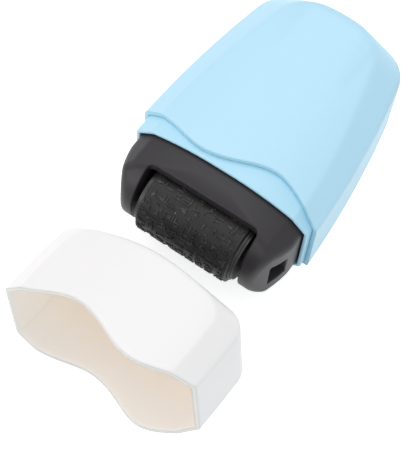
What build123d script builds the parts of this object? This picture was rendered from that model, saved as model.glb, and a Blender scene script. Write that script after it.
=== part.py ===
import os
from math import hypot, sqrt

from build123d import *

os.makedirs("parts", exist_ok=True)

# A self-inking roller stamp lies on its back face. Its rubber roller points to -Y and its
# domed tail to +Y. The cap is pulled off, turned end over end and lies in front of the roller.
# All lengths are in millimetres.

# Outside of the closed stamp
thickness = 29.4
mouth_to_tail = 52.6
mouth_to_cap_end = 19.6
barrel_radius = 250.0
widest_before_mouth = 3.0
crown_radius = 55.0
crown_land = 4.0
chamfer_width = 4.6
chamfer_drop = 3.7
tail_crown = 1.9
cap_end_crown = 3.0
tail_corner = 9.0
cap_corner = 5.5
end_roll = 2.2
soft_edge = 1.2

# Line where cap and body meet, as heights behind the mouth along the width
wave_low = 1.45
wave_high = 6.05
wave_shares = (
    (-1.10, 0.70),
    (-0.90, 0.74),
    (-0.62, 0.45),
    (-0.29, 0.00),
    (0.09, 0.45),
    (0.45, 1.00),
    (0.69, 0.68),
    (0.95, 0.12),
    (1.10, -0.10),
)

# Walls and fits, from the outside inwards
shell_wall = 1.1
push_fit = 0.05
sleeve_wall = 1.0
frame_clearance = 0.25
cap_slip = 0.1
cap_seam = 0.15
overrun = 2.0

# Inner sleeve
sleeve_depth = 33.0
bulkhead = 1.6
stop_ledge = 1.2
stop_gap = 0.1
lip_round = 0.35
latch_length = 4.0
latch_height = 7.0
latch_place = 9.0
latch_gap = 0.2
latch_rise = 0.6

# Ribs in the tail
tail_rib = 1.2
tail_rib_spacing = 18.0
tail_rib_gap = 0.2

# Stamp roller
roller_radius = 8.6
roller_axis = 7.2
print_width = 24.0
rubber_wall = 2.0
rubber_edge = 0.3
core_wall = 1.4
core_web = 1.6
bond = 0.02
ring_width = 1.1
ring_gap = 1.3
ring_radius = 7.4
ring_groove = 0.4
hub_radius = 3.2
hub_play = 0.25

# Axles and bearings
axle_radius = 1.25
axle_play = 0.05
axle_chamfer = 0.3
bearing_radius = 2.1
bearing_head_length = 4.2
bearing_head_height = 5.0
bearing_head_depth = 1.5
clip_radius = 1.95
clip_width = 0.5
clip_tail = 0.4

# Roller frame
roller_clearance = 0.5
brow = 6.6
brow_corner = 1.5
nose_reach = 13.8
nose_bulge = 0.1
frame_depth = 19.0
frame_wall = 1.6
cavity_front = 1.0
side_taper = 4.65
arm_tip_wall = 2.8
frame_soft = 2.5
window_length = 4.8
window_front_height = 8.0
window_back_height = 6.0
arm_web = 2.2

# Ink roller and its cradle
ink_radius = 6.4
ink_gap = 0.15
ink_inset = 0.2
felt_wall = 2.6
disc_radius = 5.4
disc_width = 0.8
cradle_clearance = 0.1
cradle_back = 1.4
cheek_wall = 1.5
cheek_gap = 0.3
cheek_clearance = 1.2
cheek_boss = 2.6
cheek_boss_rise = 0.9

# Cap as it lies, turned end over end in front of the roller
cap_gap = 8.8
cap_side_step = 2.3
cap_skew = 1.3
cap_lean = 9.3
cap_rise = 4.4

# Values that follow from the ones above
sleeve_inset = shell_wall + push_fit
bore_inset = sleeve_inset + sleeve_wall
arm_inner = print_width / 2 + ring_width + ring_gap
taper_tip_half = arm_inner + arm_tip_wall
taper_root_half = taper_tip_half + side_taper
half_width = taper_root_half + bore_inset
half_thick = thickness / 2
crown_reach = half_width - chamfer_width - crown_land / 2
edge_drop = crown_radius - sqrt(crown_radius**2 - crown_reach**2)
side_half_height = half_thick - edge_drop - chamfer_drop
slant = hypot(chamfer_width, chamfer_drop)
frame_inset = bore_inset + frame_clearance
cavity_inset = frame_inset + frame_wall
cap_wall = sleeve_inset - cap_slip
nose_radius = half_thick - frame_inset + nose_bulge
cap_length = mouth_to_cap_end + wave_high - cap_seam
cap_end_place = roller_axis + roller_radius + cap_gap
cap_span = 2 * half_width
cap_toe = cap_skew / 4 + (half_thick - edge_drop / 2) * cap_rise / cap_span
mouth_place = (cap_end_place + cap_length + cap_toe - mouth_to_tail) / 2
ink_axis = roller_radius + ink_gap + ink_radius - roller_axis
arm_seat = arm_inner + arm_web
core_radius = roller_radius - rubber_wall - bond
axle_half = arm_seat + bearing_head_depth + clip_width + clip_tail
axle_bore = axle_radius + axle_play
ink_width = print_width - 2 * ink_inset
cheek_inner = ink_width / 2 + disc_width + cheek_gap
cheek_height = 2 * (half_thick - edge_drop - cavity_inset - cheek_clearance)
cheek_outer = cheek_inner + cheek_wall
cradle_rear = frame_depth - cradle_clearance
cradle_front = cavity_front + cradle_clearance

# The cap leans to its left on its crowned face, with its open end a little raised and askew
cap_turn = Plane(
    (0, 0, 0),
    x_dir=(cap_span, -cap_skew, cap_lean),
    z_dir=(
        cap_lean * cap_span - cap_skew * cap_rise,
        -cap_lean * cap_skew - cap_span * cap_rise,
        -(cap_span**2) - cap_skew**2,
    ),
)
lean_share = cap_turn.x_dir.Z
tilt_share = cap_turn.y_dir.Z
drop_share = -cap_turn.z_dir.Z
cap_foot = mouth_to_cap_end - end_roll - soft_edge / 2
cap_middle = (
    cap_foot * tilt_share
    + crown_radius * hypot(lean_share, drop_share)
    - (crown_radius - half_thick) * drop_share
    + crown_land / 2 * lean_share
)
cap_tip = (
    side_half_height * cap_turn.z_dir.X
    - half_width * (1 - cap_turn.x_dir.X)
    - mouth_to_cap_end / 2 * cap_turn.y_dir.X
)
body_side = -(cap_side_step + cap_tip) / 2
cap_base = Plane(
    (body_side + cap_side_step, mouth_place - cap_end_place - mouth_to_cap_end, cap_middle),
    x_dir=cap_turn.x_dir,
    z_dir=cap_turn.z_dir,
)
body_base = Plane((body_side, mouth_place, half_thick))
roller_base = Plane((body_side, mouth_place - roller_axis, half_thick))
ink_base = Plane((body_side, mouth_place + ink_axis, half_thick))


def cross_plane(base, behind=0.0):
    """Plane across the stamp, a distance behind the mouth, its X to the right and Y up."""
    return Plane(
        base.origin + base.y_dir * behind,
        x_dir=base.x_dir,
        z_dir=-base.y_dir,
    )


def side_plane(base, out=0.0):
    """Plane along the stamp, a distance out from its middle, its X to the tail and Y up."""
    return Plane(
        base.origin + base.x_dir * out,
        x_dir=base.y_dir,
        z_dir=base.x_dir,
    )


def barrel_half(behind, inset):
    """Half width of the barrel-shaped outline at a distance behind the mouth."""
    along = behind + widest_before_mouth
    return half_width - inset - barrel_radius + sqrt(barrel_radius**2 - along**2)


def plan_outline(side_inset, end_inset, corner_inset):
    """The closed stamp's outline, seen from above, drawn in at its sides and ends."""
    tail = mouth_to_tail - end_inset
    front = end_inset - mouth_to_cap_end
    tail_edge = tail - tail_crown
    front_edge = front + cap_end_crown
    middle = (tail_edge + front_edge) / 2
    tail_half = barrel_half(tail_edge, side_inset)
    front_half = barrel_half(front_edge, side_inset)
    middle_half = barrel_half(middle, side_inset)
    with BuildSketch() as outline:
        with BuildLine():
            ThreePointArc((tail_half, tail_edge), (0, tail), (-tail_half, tail_edge))
            ThreePointArc((-tail_half, tail_edge), (-middle_half, middle), (-front_half, front_edge))
            ThreePointArc((-front_half, front_edge), (0, front), (front_half, front_edge))
            ThreePointArc((front_half, front_edge), (middle_half, middle), (tail_half, tail_edge))
        make_face()
        fillet(outline.vertices().group_by(Axis.Y)[-1], tail_corner - corner_inset)
        fillet(outline.vertices().group_by(Axis.Y)[0], cap_corner - corner_inset)
    return outline.sketch


def crown_band(inset):
    """The band between the two crowned faces, seen along the stamp."""
    land = crown_land / 2
    height = half_thick - inset
    reach = half_width + overrun
    edge = height - crown_radius + sqrt(crown_radius**2 - (reach - land) ** 2)
    with BuildSketch() as band:
        with BuildLine():
            Line((-land, height), (land, height))
            RadiusArc((land, height), (reach, edge), crown_radius)
            Line((reach, edge), (reach, 0))
            Line((reach, 0), (-reach, 0))
            Line((-reach, 0), (-reach, edge))
            RadiusArc((-reach, edge), (-land, height), crown_radius)
        make_face()
        mirror(about=Plane.XZ)
    return band.sketch


def envelope(base, inset):
    """The closed stamp's outer form, drawn in all over by an inset."""
    side_height = side_half_height - inset * (slant - chamfer_drop) / chamfer_width
    crown_height = half_thick - inset
    top_side = chamfer_width * (edge_drop + chamfer_drop) / chamfer_drop
    top_side = top_side + inset * (slant - chamfer_width) / chamfer_drop
    levels = (
        (-crown_height, top_side, inset + end_roll),
        (-side_height, inset, inset),
        (side_height, inset, inset),
        (crown_height, top_side, inset + end_roll),
    )
    with BuildPart() as form:
        for level, side_inset, end_inset in levels:
            with BuildSketch(base.offset(level)):
                add(plan_outline(side_inset, end_inset, inset))
        loft(ruled=True)
        with BuildSketch(cross_plane(base)):
            add(crown_band(inset))
        extrude(amount=mouth_to_tail + overrun, both=True, mode=Mode.INTERSECT)
    return form.part


def slice_of(form, base, front, back):
    """The stretch of a form between two distances behind the mouth."""
    with BuildPart() as piece:
        add(form)
        with BuildSketch(cross_plane(base, back)):
            Rectangle(2 * (half_width + overrun), thickness + 2 * overrun)
        extrude(amount=back - front, mode=Mode.INTERSECT)
    return piece.part


def softened(form, radius, sharp_back=False):
    """The form with its edges rounded, all of them or all but its rearmost rim."""
    with BuildPart() as piece:
        add(form)
        edges = piece.edges()
        if sharp_back:
            rims = edges.group_by(Axis.Y)
            edges = [edge for rim in rims[:-1] for edge in rim]
        fillet(edges, radius)
    return piece.part


def cap_side(seam):
    """The plan region in front of the wavy line, held back from it by a seam."""
    points = []
    for across_share, rise_share in wave_shares:
        rise = wave_low + rise_share * (wave_high - wave_low)
        points.append((across_share * half_width, rise - seam))
    front = -mouth_to_cap_end - overrun
    with BuildSketch() as region:
        with BuildLine():
            Spline(*points)
            Polyline(points[-1], (points[-1][0], front), (points[0][0], front), points[0])
        make_face()
    return region.sketch


def turned(base, profiles):
    """Rings turned about the width axis, each profile given as (start, end, inner, outer)."""
    with BuildPart() as piece:
        for start, end, inner, outer in profiles:
            with BuildSketch(base):
                with Locations(((start + end) / 2, (inner + outer) / 2)):
                    Rectangle(end - start, outer - inner)
            revolve(axis=Axis(base.origin, base.x_dir))
    return piece.part


def named(part, label):
    """Labels a finished piece and writes it out."""
    part.label = label
    export_step(part, f"parts/{label}.step")
    return part


# Outer shell: a thin skin from the wavy line back round the domed tail, with two ribs inside
shell_outside = softened(envelope(body_base, 0), soft_edge)
shell_inside = envelope(body_base, shell_wall)
rib_room = slice_of(
    envelope(body_base, shell_wall / 2),
    body_base,
    sleeve_depth + tail_rib_gap,
    mouth_to_tail,
)
with BuildPart() as tail_ribs:
    add(rib_room)
    with BuildSketch(body_base):
        with GridLocations(tail_rib_spacing, 0, 2, 1):
            Rectangle(tail_rib, 2 * mouth_to_tail)
    extrude(amount=thickness, both=True, mode=Mode.INTERSECT)
with BuildPart() as outer_shell:
    add(shell_outside)
    add(shell_inside, mode=Mode.SUBTRACT)
    with BuildSketch(body_base):
        add(cap_side(0))
    extrude(amount=thickness, both=True, mode=Mode.SUBTRACT)
    add(tail_ribs.part)
named(outer_shell.part, "outer_shell")

# Inner sleeve: stands out of the shell as the lip that the cap slides over
sleeve_outside = slice_of(
    softened(envelope(body_base, sleeve_inset), soft_edge),
    body_base,
    0,
    sleeve_depth,
)
frame_bore = slice_of(
    envelope(body_base, bore_inset),
    body_base,
    -overrun,
    frame_depth + stop_gap,
)
rear_bore = slice_of(
    envelope(body_base, bore_inset + stop_ledge),
    body_base,
    -overrun,
    sleeve_depth - bulkhead,
)
with BuildPart() as inner_sleeve:
    add(sleeve_outside)
    add(frame_bore, mode=Mode.SUBTRACT)
    add(rear_bore, mode=Mode.SUBTRACT)
    mouth_faces = inner_sleeve.faces().sort_by(Axis.Y)[0]
    fillet(mouth_faces.edges(), lip_round)
    with BuildSketch(side_plane(body_base)):
        with Locations((latch_place, 0)):
            Rectangle(latch_length + 2 * latch_gap, latch_height + 2 * latch_gap)
    extrude(amount=half_width, both=True, mode=Mode.SUBTRACT)
named(inner_sleeve.part, "inner_sleeve")

# Roller frame: a block with a full-round nose and sides that curve in, slotted for the rollers
with BuildSketch() as nose_profile:
    with Locations((nose_radius - nose_reach, 0)):
        Circle(nose_radius)
    with Locations(((frame_depth + nose_radius - nose_reach) / 2, 0)):
        Rectangle(frame_depth + nose_reach - nose_radius, 2 * nose_radius)
with BuildSketch() as frame_plan:
    with BuildLine():
        TangentArc((taper_root_half, 0), (taper_tip_half, -nose_reach), tangent=(0, -1))
        Line((taper_tip_half, -nose_reach), (-taper_tip_half, -nose_reach))
        TangentArc((-taper_root_half, 0), (-taper_tip_half, -nose_reach), tangent=(0, -1))
        Polyline(
            (-taper_root_half, 0),
            (-half_width, 0),
            (-half_width, frame_depth + overrun),
            (half_width, frame_depth + overrun),
            (half_width, 0),
            (taper_root_half, 0),
        )
    make_face()
frame_block = slice_of(envelope(body_base, frame_inset), body_base, -nose_reach, frame_depth)
frame_cavity = slice_of(
    envelope(body_base, cavity_inset),
    body_base,
    cavity_front,
    frame_depth + overrun,
)
with BuildPart() as frame_form:
    add(frame_block)
    with BuildSketch(side_plane(body_base)):
        add(nose_profile.sketch)
    extrude(amount=half_width, both=True, mode=Mode.INTERSECT)
    with BuildSketch(body_base):
        add(frame_plan.sketch)
    extrude(amount=thickness, both=True, mode=Mode.INTERSECT)
frame_outside = softened(frame_form.part, frame_soft, sharp_back=True)
with BuildSketch() as window_profile:
    with BuildLine():
        Polyline(
            (-window_length / 2, window_front_height / 2),
            (window_length / 2, window_back_height / 2),
            (window_length / 2, -window_back_height / 2),
            (-window_length / 2, -window_front_height / 2),
            close=True,
        )
    make_face()
with BuildPart() as roller_frame:
    add(frame_outside)
    add(frame_cavity, mode=Mode.SUBTRACT)
    with BuildSketch(body_base) as slot:
        with Locations((0, -brow - nose_reach / 2)):
            Rectangle(2 * arm_inner, nose_reach)
        fillet(slot.vertices().group_by(Axis.Y)[-1], brow_corner)
    extrude(amount=thickness, both=True, mode=Mode.SUBTRACT)
    with BuildSketch(side_plane(roller_base)):
        Circle(roller_radius + roller_clearance)
    extrude(amount=arm_inner, both=True, mode=Mode.SUBTRACT)
    for side in (-1, 1):
        with BuildSketch(side_plane(roller_base, side * arm_seat)):
            add(window_profile.sketch)
        extrude(amount=side * half_width, mode=Mode.SUBTRACT)
    with BuildSketch(side_plane(roller_base)):
        Circle(bearing_radius + push_fit)
    extrude(amount=arm_seat + overrun, both=True, mode=Mode.SUBTRACT)
    latch_root = half_width - cavity_inset
    for side in (-1, 1):
        with BuildSketch(side_plane(body_base, side * latch_root)):
            with Locations((latch_place, 0)):
                Rectangle(latch_length, latch_height)
        extrude(amount=side * (frame_wall + latch_rise))
named(roller_frame.part, "roller_frame")

# Bearings: flanged bushes pressed into the arms, their heads in the windows
for side, word in ((-1, "left"), (1, "right")):
    with BuildPart() as bearing:
        with BuildSketch(side_plane(roller_base, side * arm_inner)):
            Circle(bearing_radius)
        extrude(amount=side * arm_web)
        with BuildSketch(side_plane(roller_base, side * arm_seat)):
            Rectangle(bearing_head_length, bearing_head_height)
        extrude(amount=side * bearing_head_depth)
        with BuildSketch(side_plane(roller_base)):
            Circle(axle_radius + push_fit)
        extrude(amount=side * half_width, mode=Mode.SUBTRACT)
    named(bearing.part, f"bearing_{word}")

# Stamp axle: a steel pin held by a spring ring at each end
clip_start = arm_seat + bearing_head_depth
with BuildPart() as stamp_axle:
    with BuildSketch(side_plane(roller_base)):
        Circle(axle_radius)
    extrude(amount=axle_half, both=True)
    chamfer(stamp_axle.edges().filter_by(GeomType.CIRCLE), axle_chamfer)
named(stamp_axle.part, "stamp_axle")

clip_bore = axle_radius + push_fit
axle_clips = turned(
    roller_base,
    (
        (clip_start, clip_start + clip_width, clip_bore, clip_radius),
        (-clip_start - clip_width, -clip_start, clip_bore, clip_radius),
    ),
)
named(axle_clips, "axle_clips")

# Stamp roller: core, rubber sleeve and a stepped ring at each end
half_rubber = print_width / 2
hub_half = arm_inner - hub_play
stamp_core = turned(
    roller_base,
    (
        (-hub_half, hub_half, axle_bore, hub_radius),
        (-half_rubber, half_rubber, core_radius - core_wall, core_radius),
        (-half_rubber, core_web - half_rubber, hub_radius - bond, core_radius),
        (half_rubber - core_web, half_rubber, hub_radius - bond, core_radius),
    ),
)
named(stamp_core, "stamp_core")

with BuildPart() as stamp_rubber:
    with BuildSketch(side_plane(roller_base)):
        Circle(roller_radius)
        Circle(core_radius + bond, mode=Mode.SUBTRACT)
    extrude(amount=half_rubber, both=True)
    outer_rims = stamp_rubber.edges().filter_by(GeomType.CIRCLE).sort_by(SortBy.RADIUS)[-2:]
    chamfer(outer_rims, rubber_edge)
named(stamp_rubber.part, "stamp_rubber")

for side, word in ((-1, "left"), (1, "right")):
    starts = (half_rubber + bond, half_rubber + ring_width / 2, half_rubber + ring_width)
    inner_step = sorted((side * starts[0], side * starts[1]))
    outer_step = sorted((side * starts[1], side * starts[2]))
    ring = turned(
        roller_base,
        (
            (*inner_step, hub_radius + bond, ring_radius),
            (*outer_step, hub_radius + bond, ring_radius - ring_groove),
        ),
    )
    named(ring, f"end_ring_{word}")

# Ink roller: a soaked felt sleeve on a core, with a disc at each end
half_felt = ink_width / 2
ink_core_radius = ink_radius - felt_wall
ink_core = turned(
    ink_base,
    ((-half_felt, half_felt, axle_bore, ink_core_radius - bond),),
)
named(ink_core, "ink_core")
ink_felt = turned(
    ink_base,
    ((-half_felt, half_felt, ink_core_radius, ink_radius),),
)
named(ink_felt, "ink_felt")
for side, word in ((-1, "left"), (1, "right")):
    ends = sorted((side * (half_felt + bond), side * (half_felt + disc_width)))
    disc = turned(ink_base, ((*ends, axle_bore, disc_radius),))
    named(disc, f"ink_disc_{word}")

with BuildPart() as ink_axle:
    with BuildSketch(side_plane(ink_base)):
        Circle(axle_radius)
    extrude(amount=cheek_outer + cheek_boss_rise, both=True)
    chamfer(ink_axle.edges().filter_by(GeomType.CIRCLE), axle_chamfer)
named(ink_axle.part, "ink_axle")

# Ink cradle: two cheeks on a back plate that closes the frame from behind
cradle_plate = slice_of(
    envelope(body_base, cavity_inset + cradle_clearance),
    body_base,
    cradle_rear - cradle_back,
    cradle_rear,
)
with BuildPart() as ink_cradle:
    add(cradle_plate)
    for side in (-1, 1):
        with BuildSketch(side_plane(body_base, side * cheek_inner)):
            with Locations(((cradle_front + cradle_rear) / 2, 0)):
                Rectangle(cradle_rear - cradle_front, cheek_height)
        extrude(amount=side * cheek_wall)
        with BuildSketch(side_plane(ink_base, side * cheek_outer)):
            Circle(cheek_boss)
        extrude(amount=side * cheek_boss_rise)
    with BuildSketch(side_plane(ink_base)):
        Circle(axle_radius + push_fit)
    extrude(amount=half_width, both=True, mode=Mode.SUBTRACT)
named(ink_cradle.part, "ink_cradle")

# Cap: closed end next to the roller, wavy rim away from it
cap_outside = softened(envelope(cap_base, 0), soft_edge)
cap_inside = envelope(cap_base, cap_wall)
with BuildPart() as cap:
    add(cap_outside)
    add(cap_inside, mode=Mode.SUBTRACT)
    with BuildSketch(cap_base):
        add(cap_side(cap_seam))
    extrude(amount=thickness, both=True, mode=Mode.INTERSECT)
named(cap.part, "cap")
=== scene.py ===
"""Looks of a self-inking roller stamp that lies on its back beside its pulled-off cap."""

from __future__ import annotations

import logging
from dataclasses import dataclass, field
from enum import Enum
from math import atan2, cos, floor, radians, sin, tau
from random import Random

import bmesh
import bpy
from mathutils import Matrix, Vector

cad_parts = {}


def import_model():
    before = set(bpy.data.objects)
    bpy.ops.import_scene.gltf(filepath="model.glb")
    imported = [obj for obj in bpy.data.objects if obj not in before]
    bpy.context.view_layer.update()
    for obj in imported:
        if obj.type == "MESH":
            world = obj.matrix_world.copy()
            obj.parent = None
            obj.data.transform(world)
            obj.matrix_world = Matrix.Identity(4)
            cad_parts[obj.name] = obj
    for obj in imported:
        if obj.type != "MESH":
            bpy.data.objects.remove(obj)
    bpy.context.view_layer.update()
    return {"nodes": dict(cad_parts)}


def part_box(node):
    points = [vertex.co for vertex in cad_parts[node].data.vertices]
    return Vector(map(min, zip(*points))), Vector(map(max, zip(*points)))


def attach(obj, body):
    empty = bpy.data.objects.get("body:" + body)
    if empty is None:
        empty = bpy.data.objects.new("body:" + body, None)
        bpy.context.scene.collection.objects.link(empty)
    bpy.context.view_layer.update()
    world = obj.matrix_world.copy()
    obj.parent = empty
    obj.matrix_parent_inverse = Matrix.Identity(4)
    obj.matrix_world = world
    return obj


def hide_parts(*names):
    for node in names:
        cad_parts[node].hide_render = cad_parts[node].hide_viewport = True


LOG = logging.getLogger("roller_stamp")
MM = 0.001

Colour = tuple[float, float, float]
Place = tuple[float, float, float]
Span = tuple[float, float]

WHITE: Colour = (1.0, 1.0, 1.0)
WHOLE: Span = (0.0, 1.0)
FRONT: Place = (0.0, -1.0, 0.0)
ACROSS_AXLE: Place = (0.0, 1.0, 1.0)


class Body(str, Enum):
    """The moving bodies that a piece can ride on."""

    HOUSING = "housing"
    STAMP_ROLLER = "stamp_roller"
    INK_ROLLER = "ink_roller"
    CAP = "cap"


class Slot(str, Enum):
    """The name of the rubber's material slot, which nothing in this script reads."""

    RUBBER = "stamp_rubber"


class Wiring:
    """Short calls to add and join the nodes of one material, node group or world."""

    NUMBER_OPERATIONS = ("DOT_PRODUCT", "LENGTH")

    def __init__(self, tree: bpy.types.NodeTree) -> None:
        """Takes the node tree that it adds to."""
        self.tree = tree

    def node(self, kind: str, **settings: object) -> bpy.types.Node:
        """Adds a node.

        Args:
            kind: the node's type name without its "ShaderNode" prefix.
            settings: attributes of the node to set.

        Returns:
            The new node.
        """
        prefix = "" if kind.startswith("NodeGroup") else "ShaderNode"
        made = self.tree.nodes.new(prefix + kind)
        for name, value in settings.items():
            setattr(made, name, value)
        return made

    def fill(self, socket: bpy.types.NodeSocket, source: object) -> None:
        """Sets one input to a value, or joins it to an output.

        Args:
            socket: the input to fill.
            source: a plain value or an output socket.
        """
        if isinstance(source, bpy.types.NodeSocket):
            self.tree.links.new(source, socket)
        else:
            socket.default_value = source

    def feed(self, node: bpy.types.Node, **sources: object) -> bpy.types.Node:
        """Sets or joins a node's inputs by their names, with underscores for spaces.

        Args:
            node: the node whose inputs are set.
            sources: for each input, a value or the output socket that feeds it.

        Returns:
            The same node.
        """
        for name, source in sources.items():
            self.fill(node.inputs[name.replace("_", " ")], source)
        return node

    def operate(self, kind: str, operation: str, sources: tuple[object, ...]) -> bpy.types.Node:
        """Adds a node that works out one operation.

        Args:
            kind: the node's type name, as for node().
            operation: the node's operation.
            sources: values or sockets for its inputs, in order.

        Returns:
            The new node.
        """
        made = self.node(kind, operation=operation)
        for socket, source in zip(made.inputs, sources):
            self.fill(socket, source)
        return made

    def math(self, operation: str, *sources: object) -> bpy.types.NodeSocket:
        """The result of a Math node, whose inputs take the sources in order."""
        return self.operate("Math", operation, sources).outputs["Value"]

    def vector_math(self, operation: str, *sources: object) -> bpy.types.NodeSocket:
        """The result of a Vector Math node, a vector or, for some operations, a number."""
        result = "Value" if operation in self.NUMBER_OPERATIONS else "Vector"
        return self.operate("VectorMath", operation, sources).outputs[result]

    def coordinates(self, kind: str) -> bpy.types.NodeSocket:
        """The output of that kind, Object or Normal, of a Texture Coordinate node."""
        return self.node("TexCoord").outputs[kind]

    def lengthwise(self, vector: object) -> bpy.types.NodeSocket:
        """The Y of a vector, which runs from the roller to the tail."""
        return self.feed(self.node("SeparateXYZ"), Vector=vector).outputs["Y"]

    def mix(self, factor: object, first: object, second: object) -> bpy.types.NodeSocket:
        """Adds a Mix node for colours.

        Args:
            factor: a value or socket, 0 for the first colour and 1 for the second.
            first: a colour or socket.
            second: a colour or socket.

        Returns:
            The mixed colour.
        """
        made = self.node("Mix", data_type="RGBA")
        self.fill(made.inputs["Factor"], factor)
        self.fill(made.inputs["A"], first)
        self.fill(made.inputs["B"], second)
        return made.outputs["Result"]

    def spread(self, source: object, results: Span, over: Span = WHOLE) -> bpy.types.NodeSocket:
        """Spreads a value's range evenly over another one.

        Args:
            source: the socket to spread.
            results: the results at the two ends of the range, which also hold beyond it.
            over: the two ends of the value's own range.

        Returns:
            The spread value.
        """
        start, end = over
        low, high = results
        made = self.node("MapRange")
        self.feed(made, Value=source, From_Min=start, From_Max=end, To_Min=low, To_Max=high)
        return made.outputs["Result"]

    def noise(
        self, vector: object, scale: object, detail: float, bend: float = 0.0
    ) -> bpy.types.NodeSocket:
        """Adds a noise texture.

        Args:
            vector: the coordinates that it follows.
            scale: a value or socket, the number of its spots in a metre.
            detail: how many finer layers it has.
            bend: how far its spots are pulled out of shape.

        Returns:
            The noise, from 0 to 1.
        """
        made = self.node("TexNoise")
        self.feed(made, Vector=vector, Scale=scale, Detail=detail, Distortion=bend)
        return made.outputs["Fac"]

    def bump(self, height: object, depth: float) -> bpy.types.Node:
        """A Bump node at full strength, with its Normal input still free."""
        return self.feed(self.node("Bump"), Height=height, Distance=depth, Strength=1.0)


def tinted(colour: Colour) -> tuple[float, float, float, float]:
    """The colour with full alpha, as sockets take it."""
    return (*colour, 1.0)


def seen_rays(wiring: Wiring) -> bpy.types.NodeSocket:
    """Picks the rays that show a background, straight, in a gloss or through something clear.

    Args:
        wiring: the nodes of the floor or the world.

    Returns:
        A mask, 1 for camera, glossy and transmitted rays and 0 for those that light things.
    """
    path = wiring.node("LightPath").outputs
    straight_or_glossy = wiring.math("MAXIMUM", path["Is Camera Ray"], path["Is Glossy Ray"])
    return wiring.math("MAXIMUM", straight_or_glossy, path["Is Transmission Ray"])


def faces_front(wiring: Wiring, limit: float) -> bpy.types.NodeSocket:
    """Picks the surfaces that face the front, as the wavy edges do, to carry painted shade.

    Args:
        wiring: the material's nodes.
        limit: how far a normal has to point to the front, from 0 for square to it to 1 for straight.

    Returns:
        A mask, 1 on such surfaces.
    """
    normal = wiring.coordinates("Normal")
    facing = wiring.vector_math("DOT_PRODUCT", normal, FRONT)
    return wiring.math("GREATER_THAN", facing, limit)


def start_material(name: str) -> tuple[bpy.types.Material, Wiring, bpy.types.Node]:
    """Starts a material.

    Args:
        name: the material's name.

    Returns:
        The material, the wiring of its nodes and its shader.
    """
    made = bpy.data.materials.new(name)
    made.use_nodes = True
    return made, Wiring(made.node_tree), made.node_tree.nodes["Principled BSDF"]


class MouldedGrain:
    """Shader group for a moulded skin: its fine texture, its uneven patches and its pits."""

    NAME = "moulded_grain"
    INPUTS = (("Grain Scale", 4200.0), ("Patch Scale", 70.0), ("Pit Scale", 900.0), ("Pit Share", 0.07))
    OUTPUTS = ("Height", "Patches", "Pits", "Pit Pick")
    GRAIN_DETAIL = 3.0
    PATCH_DETAIL = 4.0
    PIT_SIZE = 0.16

    @classmethod
    def group(cls) -> bpy.types.NodeTree:
        """Builds the group once.

        Returns:
            The group. Height is the fine texture and Patches the uneven gloss, both from 0 to 1. Pits
            is 1 in the pits, and Pit Pick gives each pit a number of its own from 0 to 1.
        """
        made = bpy.data.node_groups.get(cls.NAME)
        if made:
            return made
        made = bpy.data.node_groups.new(cls.NAME, "ShaderNodeTree")
        face = made.interface
        face.new_socket("Vector", in_out="INPUT", socket_type="NodeSocketVector")
        for name, start in cls.INPUTS:
            face.new_socket(name, in_out="INPUT", socket_type="NodeSocketFloat").default_value = start
        for name in cls.OUTPUTS:
            face.new_socket(name, in_out="OUTPUT", socket_type="NodeSocketFloat")
        wiring = Wiring(made)
        source = wiring.node("NodeGroupInput").outputs
        pits = wiring.node("TexVoronoi", feature="F1")
        wiring.feed(pits, Vector=source["Vector"], Scale=source["Pit Scale"])
        pit = wiring.math("LESS_THAN", pits.outputs["Distance"], cls.PIT_SIZE)
        chosen = wiring.node("SeparateColor")
        wiring.feed(chosen, Color=pits.outputs["Color"])
        rare = wiring.math("LESS_THAN", chosen.outputs["Red"], source["Pit Share"])
        wiring.feed(
            wiring.node("NodeGroupOutput"),
            Height=wiring.noise(source["Vector"], source["Grain Scale"], cls.GRAIN_DETAIL),
            Patches=wiring.noise(source["Vector"], source["Patch Scale"], cls.PATCH_DETAIL),
            Pits=wiring.math("MULTIPLY", pit, rare),
            Pit_Pick=chosen.outputs["Green"],
        )
        return made

    @classmethod
    def place(cls, wiring: Wiring, vector: object, **values: object) -> bpy.types.Node:
        """Places the group in a material, on the given coordinates and with its other inputs set."""
        made = wiring.node("Group", node_tree=cls.group())
        return wiring.feed(made, Vector=vector, **values)


@dataclass(frozen=True)
class MouldedPlastic:
    """Injection-moulded plastic with a spark-textured satin skin."""

    name: str
    colour: Colour
    patch_colour: Colour
    roughness: Span = (0.36, 0.48)
    specular: float = 0.5
    grain_depth: float = 0.004 * MM
    soft_reach: float = 0.0
    soft_samples: int = 8

    def colour_socket(self, wiring: Wiring, vector: object, grain: bpy.types.Node) -> bpy.types.NodeSocket:
        """The colour over the surface, a little uneven in wide patches."""
        return wiring.mix(grain.outputs["Patches"], tinted(self.colour), tinted(self.patch_colour))

    def soft_socket(self, wiring: Wiring, vector: object) -> object:
        """How far the light softens over an edge, as a value or a socket."""
        return self.soft_reach

    def make(self) -> bpy.types.Material:
        """Builds the material.

        Returns:
            The finished material.
        """
        material, wiring, shader = start_material(self.name)
        vector = wiring.coordinates("Object")
        grain = MouldedGrain.place(wiring, vector)
        bump = wiring.bump(grain.outputs["Height"], self.grain_depth)
        if self.soft_reach:
            soft = wiring.node("Bevel", samples=self.soft_samples)
            wiring.feed(soft, Radius=self.soft_socket(wiring, vector))
            wiring.feed(bump, Normal=soft.outputs["Normal"])
        wiring.feed(
            shader,
            Base_Color=self.colour_socket(wiring, vector, grain),
            Roughness=wiring.spread(grain.outputs["Patches"], self.roughness),
            Normal=bump.outputs["Normal"],
            Specular_IOR_Level=self.specular,
        )
        return material


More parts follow.
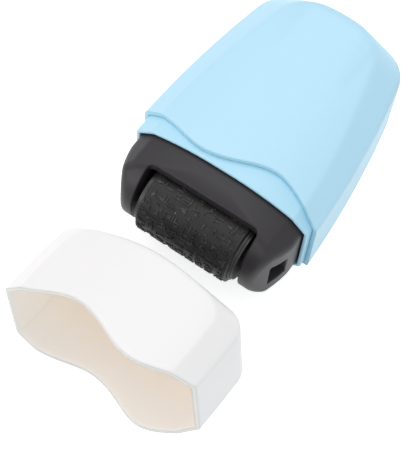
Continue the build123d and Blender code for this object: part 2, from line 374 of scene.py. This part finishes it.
@dataclass(frozen=True)
class CapPlastic(MouldedPlastic):
    """The cap's white plastic, with painted warm light and shade inside and painted shade on its rim."""

    # painted warm bounce light on the inner walls, which darkens to painted shade towards the closed end
    painted_bounce_colour: Colour = (1.0, 0.962, 0.928)
    painted_deep_shade_colour: Colour = (0.93, 0.81, 0.67)
    deep_shade_power: float = 2.0
    # painted shade on the rim's front faces
    painted_rim_shade_colour: Colour = (0.70, 0.69, 0.665)
    rim_depth: float = 14.0 * MM
    rim_facing: float = 0.45
    soft_reach: float = 1.2 * MM
    glow_through: float = 0.1
    glow_reach: Colour = (1.0, 0.85, 0.7)
    glow_depth: float = 3.0 * MM
    low: Vector = field(default_factory=Vector)
    high: Vector = field(default_factory=Vector)

    def colour_socket(self, wiring: Wiring, vector: object, grain: bpy.types.Node) -> bpy.types.NodeSocket:
        """White outside, painted warm bounce light inside, painted shade towards the closed end and on the
        rim.

        Args:
            wiring: the material's nodes.
            vector: the object coordinates.
            grain: the placed grain group.

        Returns:
            The colour.
        """
        outside = super().colour_socket(wiring, vector, grain)
        away = wiring.vector_math("SUBTRACT", vector, (self.low + self.high) / 2)
        outwards = wiring.vector_math("DOT_PRODUCT", away, wiring.coordinates("Normal"))
        inside = wiring.math("LESS_THAN", outwards, 0.0)
        along = wiring.lengthwise(vector)
        depth = wiring.spread(along, WHOLE, over=(self.low.y, self.high.y))
        deep_shade = wiring.math("POWER", depth, self.deep_shade_power)
        # painted warm bounce light inside, darkening to painted shade towards the closed end
        painted_bounce_and_shade = wiring.mix(deep_shade, tinted(self.painted_bounce_colour), tinted(self.painted_deep_shade_colour))
        # painted shade on the rim's front faces, near the mouth
        near_mouth = wiring.math("LESS_THAN", along, self.low.y + self.rim_depth)
        rim_shade = wiring.math("MULTIPLY", faces_front(wiring, self.rim_facing), near_mouth)
        return wiring.mix(rim_shade, wiring.mix(inside, outside, painted_bounce_and_shade), tinted(self.painted_rim_shade_colour))

    def make(self) -> bpy.types.Material:
        """Builds the material and lets a little light through its skin.

        Returns:
            The finished material.
        """
        material = super().make()
        shader = material.node_tree.nodes["Principled BSDF"]
        Wiring(material.node_tree).feed(
            shader,
            Subsurface_Weight=self.glow_through,
            Subsurface_Radius=self.glow_reach,
            Subsurface_Scale=self.glow_depth,
        )
        return material


@dataclass(frozen=True)
class ShellPlastic(MouldedPlastic):
    """The shell's blue plastic, with painted shade, a deeper blue, on the narrow face of its wavy front
    edge.
    """

    # painted shade on the wavy edge's front-facing wall, where the step's shadow falls
    painted_edge_shade_colour: Colour = (0.375, 0.66, 0.78)
    edge_facing: float = 0.45
    soft_reach: float = 0.6 * MM
    tail_reach: float = 4.0 * MM
    tail: float = 52.0 * MM

    def soft_socket(self, wiring: Wiring, vector: object) -> object:
        """Edges that are crisp at the mouth, by the origin, and fade out towards the tail."""
        reaches = (self.soft_reach, self.tail_reach)
        return wiring.spread(wiring.lengthwise(vector), reaches, over=(0.0, self.tail))

    def colour_socket(self, wiring: Wiring, vector: object, grain: bpy.types.Node) -> bpy.types.NodeSocket:
        """The skin's blue, and a painted shade in deeper blue where the wall faces the front."""
        skin = super().colour_socket(wiring, vector, grain)
        # painted shade where the wall faces the front
        return wiring.mix(faces_front(wiring, self.edge_facing), skin, tinted(self.painted_edge_shade_colour))


@dataclass(frozen=True)
class InkedRubber:
    """Black rubber, uneven with dried ink, with painted highlights on its raised strokes and flecked with
    lint.
    """

    axis: Vector
    highlight_radius: float
    name: str = "inked_rubber"
    colour: Colour = (0.009, 0.009, 0.009)
    ink_colour: Colour = (0.032, 0.031, 0.030)
    # painted highlight: a paler colour on the raised strokes in place of their glints
    wear_and_highlight_colour: Colour = (0.068, 0.066, 0.064)
    highlight_patches: Span = (0.42, 0.62)
    lint_colour: Colour = (0.10, 0.10, 0.10)
    bright_lint_colour: Colour = (0.55, 0.54, 0.52)
    bright_share: float = 0.10
    lint_scale: float = 1700.0
    lint_share: float = 0.22
    grain_scale: float = 2600.0
    grain_depth: float = 0.07 * MM
    patch_scale: float = 420.0
    roughness: Span = (0.30, 0.65)
    specular: float = 0.3

    def highlight_mask(self, wiring: Wiring, vector: object, patches: object) -> bpy.types.NodeSocket:
        """Where the highlight is painted: patches of what stands farther out than the valleys.

        Args:
            wiring: the material's nodes.
            vector: the object coordinates.
            patches: the grain's uneven patches.

        Returns:
            A mask, 1 where the highlight is painted.
        """
        arm = wiring.vector_math("SUBTRACT", vector, self.axis)
        reach = wiring.vector_math("LENGTH", wiring.vector_math("MULTIPLY", arm, ACROSS_AXLE))
        top = wiring.math("GREATER_THAN", reach, self.highlight_radius)
        return wiring.math("MULTIPLY", top, wiring.spread(patches, WHOLE, over=self.highlight_patches))

    def make(self) -> bpy.types.Material:
        """Builds the material.

        Returns:
            The finished material.
        """
        material, wiring, shader = start_material(self.name)
        vector = wiring.coordinates("Object")
        grain = MouldedGrain.place(
            wiring,
            vector,
            Grain_Scale=self.grain_scale,
            Patch_Scale=self.patch_scale,
            Pit_Scale=self.lint_scale,
            Pit_Share=self.lint_share,
        )
        patches = grain.outputs["Patches"]
        inked = wiring.mix(patches, tinted(self.colour), tinted(self.ink_colour))
        # painted highlight on the raised strokes
        skin = wiring.mix(self.highlight_mask(wiring, vector, patches), inked, tinted(self.wear_and_highlight_colour))
        bright = wiring.math("LESS_THAN", grain.outputs["Pit Pick"], self.bright_share)
        lint = wiring.mix(bright, tinted(self.lint_colour), tinted(self.bright_lint_colour))
        wiring.feed(
            shader,
            Base_Color=wiring.mix(grain.outputs["Pits"], skin, lint),
            Roughness=wiring.spread(patches, self.roughness),
            Normal=wiring.bump(grain.outputs["Height"], self.grain_depth).outputs["Normal"],
            Specular_IOR_Level=self.specular,
        )
        return material


@dataclass(frozen=True)
class InkFelt:
    """Felt soaked with black ink."""

    name: str = "soaked_felt"
    colour: Colour = (0.010, 0.010, 0.014)
    fibre_colour: Colour = (0.035, 0.034, 0.042)
    fibre_scale: float = 1500.0
    fibre_detail: float = 8.0
    fibre_bend: float = 1.6
    fibre_depth: float = 0.12 * MM
    roughness: Span = (0.45, 0.95)
    sheen: float = 0.1

    def make(self) -> bpy.types.Material:
        """Builds the material.

        Returns:
            The finished material.
        """
        material, wiring, shader = start_material(self.name)
        vector = wiring.coordinates("Object")
        fibres = wiring.noise(vector, self.fibre_scale, self.fibre_detail, self.fibre_bend)
        wiring.feed(
            shader,
            Base_Color=wiring.mix(fibres, tinted(self.colour), tinted(self.fibre_colour)),
            Roughness=wiring.spread(fibres, self.roughness),
            Normal=wiring.bump(fibres, self.fibre_depth).outputs["Normal"],
            Sheen_Weight=self.sheen,
        )
        return material


@dataclass(frozen=True)
class DrawnSteel:
    """Plated steel wire with fine lines along its length."""

    name: str = "drawn_steel"
    colour: Colour = (0.60, 0.60, 0.62)
    # the colour of the drawn lines' wear
    wear_and_highlight_colour: Colour = (0.45, 0.45, 0.46)
    line_scales: Place = (60.0, 6000.0, 6000.0)
    line_detail: float = 3.0
    line_depth: float = 0.003 * MM
    roughness: Span = (0.22, 0.42)

    def make(self) -> bpy.types.Material:
        """Builds the material.

        Returns:
            The finished material.
        """
        material, wiring, shader = start_material(self.name)
        drawn = wiring.node("Mapping")
        wiring.feed(drawn, Vector=wiring.coordinates("Object"), Scale=self.line_scales)
        lines = wiring.noise(drawn.outputs["Vector"], 1.0, self.line_detail)
        wiring.feed(
            shader,
            Base_Color=wiring.mix(lines, tinted(self.colour), tinted(self.wear_and_highlight_colour)),
            Roughness=wiring.spread(lines, self.roughness),
            Normal=wiring.bump(lines, self.line_depth).outputs["Normal"],
            Metallic=1.0,
        )
        return material


def dress(node: bpy.types.Object, material: bpy.types.Material) -> None:
    """Gives an object one material in place of what it has.

    Args:
        node: the object.
        material: its new material.
    """
    node.data.materials.clear()
    node.data.materials.append(material)
    LOG.info("%s has the finish %s", node.name, material.name)


def finished_object(name: str, mesh: bmesh.types.BMesh) -> bpy.types.Object:
    """Makes an object of a worked mesh and links it to the scene.

    Args:
        name: the object's name.
        mesh: the worked mesh, which is freed.

    Returns:
        The object, with its place in its mesh.
    """
    data = bpy.data.meshes.new(name)
    mesh.to_mesh(data)
    mesh.free()
    made = bpy.data.objects.new(name, data)
    bpy.context.scene.collection.objects.link(made)
    return made


@dataclass
class Housing:
    """The blue body: shell, sleeve, roller frame and the still pieces that they hold."""

    nodes: dict[str, bpy.types.Object]
    body: Body = Body.HOUSING
    shell: ShellPlastic = ShellPlastic("shell_blue", (0.462, 0.742, 0.915), (0.477, 0.757, 0.925))
    sleeve: MouldedPlastic = MouldedPlastic("sleeve_blue", (0.440, 0.730, 0.90), (0.455, 0.745, 0.91))
    frame: MouldedPlastic = MouldedPlastic(
        "frame_dark",
        (0.020, 0.017, 0.020),
        (0.026, 0.023, 0.026),
        roughness=(0.37, 0.49),
        specular=0.33,
        soft_reach=0.6 * MM,
    )
    cradle: MouldedPlastic = MouldedPlastic("cradle_dark", (0.03, 0.03, 0.032), (0.036, 0.036, 0.038))
    bearing: MouldedPlastic = MouldedPlastic("bearing_black", (0.02, 0.02, 0.02), (0.026, 0.026, 0.026))
    steel: DrawnSteel = DrawnSteel()

    def finish(self) -> None:
        """Dresses the housing's nodes."""
        dress(self.nodes["outer_shell"], self.shell.make())
        dress(self.nodes["inner_sleeve"], self.sleeve.make())
        dress(self.nodes["roller_frame"], self.frame.make())
        dress(self.nodes["ink_cradle"], self.cradle.make())
        bearing = self.bearing.make()
        for name in ("bearing_left", "bearing_right"):
            dress(self.nodes[name], bearing)
        steel = self.steel.make()
        for name in ("stamp_axle", "axle_clips", "ink_axle"):
            dress(self.nodes[name], steel)


@dataclass
class StampRoller:
    """The print roller: a core with stepped rings and a rubber sleeve that carries the scramble.

    The sleeve's skin is cut into cells, and a square of cells_in_mark by cells_in_mark holds one mark.
    """

    nodes: dict[str, bpy.types.Object]
    body: Body = Body.STAMP_ROLLER
    relief: float = 0.24 * MM
    draft: float = 0.04 * MM
    end_land: float = 0.35 * MM
    merge: float = 0.001 * MM
    columns: int = 9
    rows: int = 20
    cells_in_mark: int = 8
    bars_along: tuple[int, ...] = (2, 3, 3)
    bars_around: tuple[int, ...] = (1, 2, 2)
    least_reach: int = 2
    seed: int = 11
    core: MouldedPlastic = MouldedPlastic("core_black", (0.02, 0.02, 0.021), (0.026, 0.026, 0.027))
    rings: MouldedPlastic = MouldedPlastic("ring_black", (0.045, 0.044, 0.045), (0.052, 0.050, 0.052))

    def bar(self, draw: Random) -> tuple[int, range]:
        """Draws one bar in a mark's square.

        Args:
            draw: the seeded random numbers.

        Returns:
            The line of cells that the bar lies on, and its cells in that line.
        """
        last = self.cells_in_mark - 1
        line = draw.randrange(0, last)
        start = draw.randrange(0, last - self.least_reach)
        stop = draw.randrange(start + self.least_reach, last)
        return line, range(start, stop + 1)

    def scramble(self) -> set[tuple[int, int]]:
        """Draws the strokes: in each mark's square some bars along the axle and some around it.

        Returns:
            The cells that stand up, as (cell along the axle, cell around it).
        """
        draw = Random(self.seed)
        raised = set()
        for column in range(self.columns):
            for row in range(self.rows):
                left = column * self.cells_in_mark
                foot = row * self.cells_in_mark
                for _ in range(draw.choice(self.bars_along)):
                    line, cells = self.bar(draw)
                    raised.update((left + cell, foot + line) for cell in cells)
                for _ in range(draw.choice(self.bars_around)):
                    line, cells = self.bar(draw)
                    raised.update((left + line, foot + cell) for cell in cells)
        return raised

    @property
    def cells_along(self) -> int:
        """The number of the skin's cells along the axle."""
        return self.columns * self.cells_in_mark

    @property
    def cells_around(self) -> int:
        """The number of the skin's cells around the axle."""
        return self.rows * self.cells_in_mark

    def cell_length(self, low: Vector, high: Vector) -> float:
        """The length of a cell along the axle, between the sleeve's two plain ends."""
        return (high.x - low.x - 2 * self.end_land) / self.cells_along

    def skin_radius(self, low: Vector, high: Vector) -> float:
        """The radius of the skin that the strokes stand on."""
        return (high.z - low.z) / 2 - self.relief

    def plain_sleeve(self, low: Vector, high: Vector) -> bmesh.types.BMesh:
        """Turns the sleeve without its scramble, with a skin of cells.

        Args:
            low: the low corner of the sleeve's box, strokes included.
            high: the high corner of that box.

        Returns:
            The closed mesh.
        """
        centre = (low + high) / 2
        skin = self.skin_radius(low, high)
        shoulder = skin - self.end_land
        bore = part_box("stamp_core")[1].z - centre.z
        length = self.cell_length(low, high)
        profile = [(low.x, bore), (low.x, shoulder), (low.x + self.end_land / 2, skin)]
        profile += [(low.x + self.end_land + length * step, skin) for step in range(self.cells_along + 1)]
        profile += [(high.x - self.end_land / 2, skin), (high.x, shoulder), (high.x, bore)]
        mesh = bmesh.new()
        outline = [mesh.verts.new((x, centre.y, centre.z + radius)) for x, radius in profile]
        edges = [mesh.edges.new(pair) for pair in zip(outline, outline[1:])]
        edges.append(mesh.edges.new((outline[-1], outline[0])))
        bmesh.ops.spin(
            mesh,
            geom=outline + edges,
            cent=centre,
            axis=(1, 0, 0),
            angle=tau,
            steps=self.cells_around,
            use_merge=True,
        )
        bmesh.ops.remove_doubles(mesh, verts=mesh.verts, dist=self.merge)
        bmesh.ops.recalc_face_normals(mesh, faces=mesh.faces)
        return mesh

    def struck_faces(self, mesh: bmesh.types.BMesh, low: Vector, high: Vector) -> list[bmesh.types.BMFace]:
        """Finds the cells of the skin that the scramble raises.

        Args:
            mesh: the plain sleeve.
            low: the low corner of the sleeve's box.
            high: the high corner of that box.

        Returns:
            The faces of those cells.
        """
        centre = (low + high) / 2
        shoulder = self.skin_radius(low, high) - self.end_land
        length = self.cell_length(low, high)
        raised = self.scramble()
        struck = []
        for face in mesh.faces:
            spot = face.calc_center_median()
            arm = Vector((0, spot.y - centre.y, spot.z - centre.z))
            in_bore = arm.length < shoulder
            along = floor((spot.x - low.x - self.end_land) / length)
            around = floor((atan2(arm.z, arm.y) % tau) / tau * self.cells_around)
            if not in_bore and (along, around) in raised:
                struck.append(face)
        return struck

    def sleeve(self) -> bpy.types.Object:
        """Builds the rubber sleeve and raises the scramble on it.

        Returns:
            The sleeve, in the place of its plain solid.
        """
        low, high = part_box("stamp_rubber")
        mesh = self.plain_sleeve(low, high)
        bmesh.ops.inset_region(
            mesh,
            faces=self.struck_faces(mesh, low, high),
            thickness=self.draft,
            depth=self.relief,
            use_boundary=True,
            use_even_offset=True,
        )
        return finished_object("stamp_sleeve", mesh)

    def finish(self) -> None:
        """Builds the sleeve and dresses the roller's nodes."""
        sleeve = self.sleeve()
        low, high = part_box("stamp_rubber")
        # the painted highlight covers what stands above half the relief
        highlight_radius = self.skin_radius(low, high) + self.relief / 2
        dress(sleeve, InkedRubber(axis=(low + high) / 2, highlight_radius=highlight_radius).make())
        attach(sleeve, Body.STAMP_ROLLER.value)
        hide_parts("stamp_rubber")
        dress(self.nodes["stamp_core"], self.core.make())
        rings = self.rings.make()
        for name in ("end_ring_left", "end_ring_right"):
            dress(self.nodes[name], rings)


@dataclass
class InkRoller:
    """The ink roller behind the print roller."""

    nodes: dict[str, bpy.types.Object]
    body: Body = Body.INK_ROLLER
    core: MouldedPlastic = MouldedPlastic("ink_core_black", (0.02, 0.02, 0.021), (0.026, 0.026, 0.027))
    felt: InkFelt = InkFelt()

    def finish(self) -> None:
        """Dresses the ink roller's nodes."""
        dress(self.nodes["ink_felt"], self.felt.make())
        core = self.core.make()
        for name in ("ink_core", "ink_disc_left", "ink_disc_right"):
            dress(self.nodes[name], core)


@dataclass
class Cap:
    """The white cap, pulled off and turned end over end."""

    nodes: dict[str, bpy.types.Object]
    body: Body = Body.CAP
    colour: Colour = (0.875, 0.86, 0.865)
    patch_colour: Colour = (0.89, 0.875, 0.88)

    def finish(self) -> None:
        """Dresses the cap."""
        low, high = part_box("cap")
        plastic = CapPlastic("cap_white", self.colour, self.patch_colour, low=low, high=high)
        dress(self.nodes["cap"], plastic.make())


@dataclass(frozen=True)
class SoftLight:
    """A square studio light that points at the stamp."""

    name: str
    place: Place
    width: float
    power: float
    colour: Colour = WHITE

    def hang(self, target: Vector) -> None:
        """Adds the light.

        Args:
            target: the point that it faces, from which its place is measured.
        """
        data = bpy.data.lights.new(self.name, "AREA")
        data.size = self.width
        data.energy = self.power
        data.color = self.colour
        light = bpy.data.objects.new(self.name, data)
        bpy.context.scene.collection.objects.link(light)
        light.location = target + Vector(self.place)
        light.rotation_euler = (-Vector(self.place)).to_track_quat("-Z", "Y").to_euler()


@dataclass
class Studio:
    """The pale floor, the soft lights and the even surrounding light."""

    floor_width: float = 4.0
    floor_colour: Colour = (0.82, 0.82, 0.82)
    floor_roughness: float = 0.9
    floor_lift: float = 0.70
    sky_strength: float = 0.55
    seen_sky_strength: float = 1.0
    lights: tuple[SoftLight, ...] = (
        SoftLight("overhead", place=(-0.15, 0.25, 0.70), width=0.6, power=1.88),
        SoftLight("left_fill", place=(-0.70, -0.10, 0.45), width=0.5, power=0.7),
        SoftLight("right_fill", place=(0.70, -0.35, 0.35), width=0.5, power=0.8, colour=(0.72, 0.94, 1.0)),
        SoftLight("front_fill", place=(-0.15, -0.80, 0.26), width=0.6, power=2.8),
        SoftLight("back_fill", place=(0.10, 0.80, 0.30), width=0.6, power=0.9),
    )

    def floor(self) -> None:
        """Lays the floor, which looks a little brighter than it is lit and keeps its shadows."""
        mesh = bmesh.new()
        bmesh.ops.create_grid(mesh, x_segments=1, y_segments=1, size=self.floor_width / 2)
        made = finished_object("floor", mesh)
        material, wiring, shader = start_material("pale_floor")
        wiring.feed(
            shader,
            Base_Color=tinted(self.floor_colour),
            Roughness=self.floor_roughness,
            Specular_IOR_Level=0.0,
            Emission_Color=tinted(WHITE),
            Emission_Strength=wiring.math("MULTIPLY", seen_rays(wiring), self.floor_lift),
        )
        dress(made, material)

    def sky(self) -> None:
        """Sets the even light around, which looks white wherever it is seen."""
        world = bpy.data.worlds.new("studio")
        bpy.context.scene.world = world
        world.use_nodes = True
        wiring = Wiring(world.node_tree)
        strengths = (self.sky_strength, self.seen_sky_strength)
        wiring.feed(
            world.node_tree.nodes["Background"],
            Color=tinted(WHITE),
            Strength=wiring.spread(seen_rays(wiring), strengths),
        )

    def build(self, target: Vector) -> None:
        """Sets up the whole studio.

        Args:
            target: the point that the lights face.
        """
        self.floor()
        self.sky()
        for light in self.lights:
            light.hang(target)


@dataclass(frozen=True)
class PhotoCamera:
    """The photograph's viewpoint: a long lens that looks down from the right front."""

    aim: Vector = Vector((-1.498 * MM, -8.198 * MM, 14.7 * MM))
    distance: float = 311.98 * MM
    azimuth: float = radians(28.570)
    elevation: float = radians(62.187)
    roll: float = radians(6.513)
    focal_pixels: float = 1400.0
    image_width: int = 401
    sensor: float = 36.0
    near_share: float = 0.01

    def place(self) -> None:
        """Creates the camera and makes it the scene's own."""
        back = Vector((
            sin(self.azimuth) * cos(self.elevation),
            -cos(self.azimuth) * cos(self.elevation),
            sin(self.elevation),
        ))
        level = Vector((cos(self.azimuth), sin(self.azimuth), 0))
        right = Matrix.Rotation(self.roll, 3, back) @ level
        axes = Matrix((right, back.cross(right), back)).transposed()
        data = bpy.data.cameras.new("photo_camera")
        data.sensor_fit = "HORIZONTAL"
        data.sensor_width = self.sensor
        data.lens = self.sensor * self.focal_pixels / self.image_width
        data.clip_start = self.distance * self.near_share
        camera = bpy.data.objects.new("photo_camera", data)
        bpy.context.scene.collection.objects.link(camera)
        camera.matrix_world = Matrix.Translation(self.aim + self.distance * back) @ axes.to_4x4()
        bpy.context.scene.camera = camera


def main() -> None:
    """Builds and dresses the stamp, piece by piece."""
    logging.basicConfig(level=logging.INFO, format="%(name)s: %(message)s")
    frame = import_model()
    nodes = frame["nodes"]
    for part in (Housing(nodes), StampRoller(nodes), InkRoller(nodes), Cap(nodes)):
        part.finish()
        LOG.info("finished the pieces of the body %s", part.body.value)
    camera = PhotoCamera()
    camera.place()
    Studio().build(camera.aim)
    bpy.context.scene.view_settings.view_transform = "Standard"


if __name__ == "__main__":
    main()
